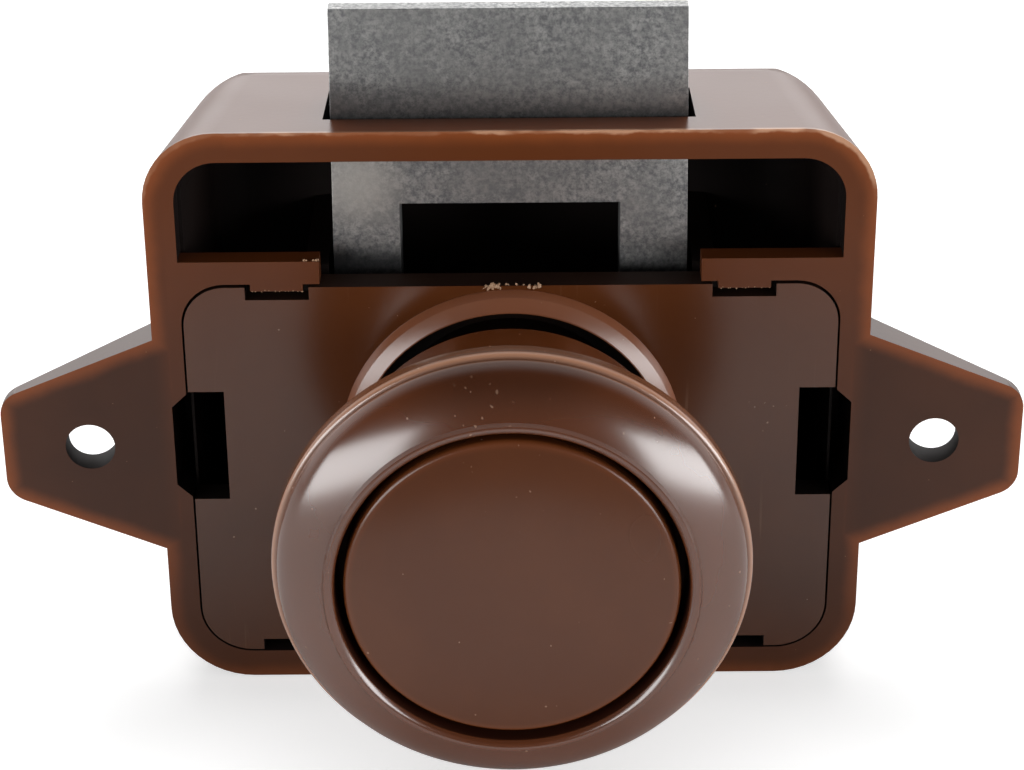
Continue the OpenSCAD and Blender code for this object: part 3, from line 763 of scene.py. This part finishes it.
button = {
    "radius": 9.15, "back": 14.15, "face": 17.15, "dome": 0.35, "domePower": 4, "edge": 0.3,
    "backEdge": 0.3, "socket": 4.55, "socketDepth": 2.0, "domeSteps": 40,
}


def buttonProfile():
    b = button
    inner = b["radius"] - b["edge"]
    points = [(0.0, b["back"] + b["socketDepth"]), (b["socket"], b["back"] + b["socketDepth"]),
              (b["socket"], b["back"]), (b["radius"] - b["backEdge"], b["back"])]
    points += arcPoints(b["radius"] - b["backEdge"], b["back"] + b["backEdge"], b["backEdge"], -60, 0, 4)
    rimTop = b["face"] - b["dome"]
    points += arcPoints(inner, rimTop - b["edge"], b["edge"], 0, 80, 12)
    for i in range(1, b["domeSteps"] + 1):
        share = math.cos(math.radians(90 * i / b["domeSteps"]))
        points.append((inner * share, b["face"] - b["dome"] * share ** b["domePower"]))
    return points


def inGroove(point, normal):
    # true for the walls and floor of the groove round the button, which get painted shade
    radius = math.hypot(point.x, point.z) / mm
    ahead = -point.y / mm > knob["floor"] + knob["grooveUp"]
    return ahead and radius < knob["recess"] + knob["grooveOut"]


newPiece("knobRing", turned("knobRing", knobProfile(), True),
         [knobBrown, groovePaintedShade], "body", ["rosette"], inGroove)
newPiece("pushFace", turned("pushFace", buttonProfile(), False),
         [buttonBrown], "button", ["button_cap"])
print("knob turned")


# springs wound along a path, and torn flash on moulded edges

def newGroup(name, sockets):
    group = bpy.data.node_groups.new(name, "GeometryNodeTree")
    for label, kind in sockets:
        group.interface.new_socket(label, in_out="INPUT", socket_type="NodeSocket" + kind)
    group.interface.new_socket("Geometry", in_out="OUTPUT", socket_type="NodeSocketGeometry")
    return group, addNode(group, "NodeGroupInput").outputs


def closeGroup(group, shape, finish):
    real = addNode(group, "GeometryNodeRealizeInstances")
    paint = addNode(group, "GeometryNodeSetMaterial")
    out = addNode(group, "NodeGroupOutput")
    group.links.new(shape, real.inputs[0])
    group.links.new(real.outputs[0], paint.inputs["Geometry"])
    group.links.new(finish, paint.inputs["Material"])
    group.links.new(paint.outputs[0], out.inputs[0])
    return group


def wireCoil():
    group, given = newGroup("wireCoil", [
        ("Turns", "Float"), ("Radius", "Float"), ("Height", "Float"), ("Wire", "Float"),
        ("Place", "Vector"), ("Turn", "Vector"), ("Finish", "Material")])
    path = addNode(group, "GeometryNodeCurveSpiral", {"Resolution": 32})
    wire = addNode(group, "GeometryNodeCurvePrimitiveCircle", {"Resolution": 12})
    skin = addNode(group, "GeometryNodeCurveToMesh", {"Fill Caps": True})
    move = addNode(group, "GeometryNodeTransform")
    for label, socket in (("Turns", "Rotations"), ("Radius", "Start Radius"), ("Radius", "End Radius"),
                          ("Height", "Height")):
        group.links.new(given[label], path.inputs[socket])
    group.links.new(given["Wire"], wire.inputs["Radius"])
    group.links.new(path.outputs[0], skin.inputs["Curve"])
    group.links.new(wire.outputs[0], skin.inputs["Profile Curve"])
    group.links.new(skin.outputs[0], move.inputs["Geometry"])
    group.links.new(given["Place"], move.inputs["Translation"])
    group.links.new(given["Turn"], move.inputs["Rotation"])
    return closeGroup(group, move.outputs[0], given["Finish"])


crumbTurn = 6.28  # radians a crumb may turn by about each axis


def crumbRow():
    group, given = newGroup("crumbRow", [
        ("Count", "Int"), ("Seed", "Int"), ("From", "Vector"), ("To", "Vector"), ("Spread", "Vector"),
        ("Small", "Float"), ("Large", "Float"), ("Finish", "Material")])
    row = addNode(group, "GeometryNodeMeshLine", mode="END_POINTS")
    group.links.new(given["Count"], row.inputs["Count"])
    group.links.new(given["From"], row.inputs["Start Location"])
    group.links.new(given["To"], row.inputs["Offset"])
    stray = addNode(group, "FunctionNodeRandomValue", {0: (-1, -1, -1), 1: (1, 1, 1)},
                    data_type="FLOAT_VECTOR")
    share = addNode(group, "ShaderNodeVectorMath", operation="MULTIPLY")
    move = addNode(group, "GeometryNodeSetPosition")
    crumb = addNode(group, "GeometryNodeMeshIcoSphere", {"Radius": 1.0, "Subdivisions": 1})
    spin = addNode(group, "FunctionNodeRandomValue", {0: (0, 0, 0), 1: (crumbTurn, crumbTurn, crumbTurn)},
                   data_type="FLOAT_VECTOR")
    size = addNode(group, "FunctionNodeRandomValue", data_type="FLOAT_VECTOR")
    place = addNode(group, "GeometryNodeInstanceOnPoints")
    for node in (stray, spin, size):
        group.links.new(given["Seed"], node.inputs["Seed"])
    group.links.new(given["Small"], size.inputs[0])
    group.links.new(given["Large"], size.inputs[1])
    group.links.new(stray.outputs[0], share.inputs[0])
    group.links.new(given["Spread"], share.inputs[1])
    group.links.new(row.outputs[0], move.inputs["Geometry"])
    group.links.new(share.outputs[0], move.inputs["Offset"])
    group.links.new(move.outputs[0], place.inputs["Points"])
    group.links.new(crumb.outputs[0], place.inputs["Instance"])
    group.links.new(spin.outputs[0], place.inputs["Rotation"])
    group.links.new(size.outputs[0], place.inputs["Scale"])
    return closeGroup(group, place.outputs[0], given["Finish"])


def grown(name, group, values):
    helper = bpy.data.objects.new(name + "Helper", bpy.data.meshes.new(name + "Seed"))
    scene.collection.objects.link(helper)
    modifier = helper.modifiers.new("grown", "NODES")
    modifier.node_group = group
    for item in group.interface.items_tree:
        if item.in_out == "INPUT":
            modifier[item.identifier] = values[item.name]
    return plainMesh(helper, name)


def inMetres(x, y, z):
    return (x * mm, y * mm, z * mm)


coilNodes = wireCoil()


def woundCoil(name, spec, place, turn=(0.0, 0.0, 0.0)):
    return grown(name, coilNodes, {
        "Turns": spec["turns"], "Radius": spec["radius"] * mm, "Height": spec["length"] * mm,
        "Wire": spec["wire"] * mm, "Place": place, "Turn": turn, "Finish": wireSteel})


boltSpring = {
    "turns": 4.0, "radius": 1.46, "length": 8.32, "wire": 0.24, "x": 8.0, "y": 4.53, "foot": -13.26,
    "anchor": -13.5, "keep": 0.28,
}
for side, word in ((-1, "left"), (1, "right")):
    b = boltSpring
    coil = woundCoil(word + "BoltSpring", b, inMetres(side * b["x"], b["y"], b["foot"]))
    spring = newPiece(word + "BoltSpring", coil, [wireSteel], "body", ["bolt_spring_" + word])
    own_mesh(spring)

buttonSpring = {"turns": 13.0, "radius": 1.96, "length": 22.74, "wire": 0.24, "back": 13.88}
coil = woundCoil("buttonSpring", buttonSpring, inMetres(0.0, buttonSpring["back"], 0.0),
                 (math.radians(90), 0.0, 0.0))
spring = newPiece("buttonSpring", coil, [wireSteel], None, ["plunger_spring"])
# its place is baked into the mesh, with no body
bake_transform(spring)
print("springs wound")

crumbNodes = crumbRow()
flash = {
    "coverFlash": {"count": 14, "seed": 4, "from": (-1.6, 0.10, 10.30), "to": (1.8, 0.10, 10.30),
                   "spread": (0.12, 0.10, 0.10), "small": 0.03, "large": 0.10, "slot": "cover_plastic"},
    "coverFlashLeft": {"count": 10, "seed": 5, "from": (-1.5, 0.05, 10.24), "to": (-0.6, 0.05, 10.24),
                       "spread": (0.12, 0.06, 0.10), "small": 0.07, "large": 0.20, "slot": "cover_plastic"},
    "coverFlashRight": {"count": 8, "seed": 6, "from": (1.0, 0.05, 10.24), "to": (1.7, 0.05, 10.24),
                        "spread": (0.12, 0.06, 0.10), "small": 0.06, "large": 0.18, "slot": "cover_plastic"},
    "leftLugFlash": {"count": 14, "seed": 7, "from": (-14.9, 0.05, 10.10), "to": (-12.1, 0.05, 10.10),
                     "spread": (0.10, 0.03, 0.05), "small": 0.03, "large": 0.09, "slot": "housing_plastic"},
    "rightLugFlash": {"count": 14, "seed": 9, "from": (12.1, 0.05, 10.10), "to": (14.9, 0.05, 10.10),
                      "spread": (0.10, 0.03, 0.05), "small": 0.03, "large": 0.09, "slot": "housing_plastic"},
    "barFlash": {"count": 8, "seed": 2, "from": (-12.2, 0.12, 11.93), "to": (-11.1, 0.12, 11.93),
                 "spread": (0.10, 0.06, 0.06), "small": 0.04, "large": 0.10, "slot": "housing_plastic"},
}
for name, row in flash.items():
    crumbs = grown(name, crumbNodes, {
        "Count": row["count"], "Seed": row["seed"], "From": inMetres(*row["from"]),
        "To": inMetres(*row["to"]), "Spread": inMetres(*row["spread"]), "Small": row["small"] * mm,
        "Large": row["large"] * mm, "Finish": tornPlastic})
    newPiece(name, crumbs, [tornPlastic], "body")
print("flash torn")


# inner pieces keep their solids and get a finish: painted shade on the guide sleeve and plunger, spring wire
# on the cam follower

def finishNode(node, material):
    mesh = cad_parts[node].data
    mesh.materials.clear()
    mesh.materials.append(material)


for innerNode in ("guide_sleeve", "plunger"):
    finishNode(innerNode, innerPaintedShade)
finishNode("cam_follower", wireSteel)
print("inner pieces finished")
